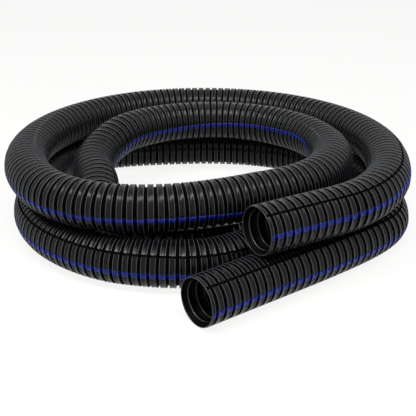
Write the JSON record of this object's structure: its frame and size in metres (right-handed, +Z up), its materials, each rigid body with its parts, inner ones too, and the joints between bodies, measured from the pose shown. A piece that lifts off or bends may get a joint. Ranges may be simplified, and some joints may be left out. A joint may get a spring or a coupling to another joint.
{
  "type": "vacuum hose",
  "caption": "Black corrugated pool and spa vacuum hose with a blue stripe, coiled in layers, with both plain cut ends open at the front for push-in cuffs or connectors.",
  "frame": {"origin": "on the floor, under the middle of the footprint", "axes": "+Z up; -Y towards the front, where both cut ends come out; +X to the right seen from the front"},
  "size_m": [0.4568, 0.5132, 0.096],
  "materials": {
    "hose_wall": "satin",
    "stripe": "satin"
  },
  "bodies": {
    "root": {"coiled_wall": "hose_wall", "upper_cut_end": "hose_wall", "lower_cut_end": "hose_wall", "blue_stripe": "stripe"}
  },
  "joints": []
}
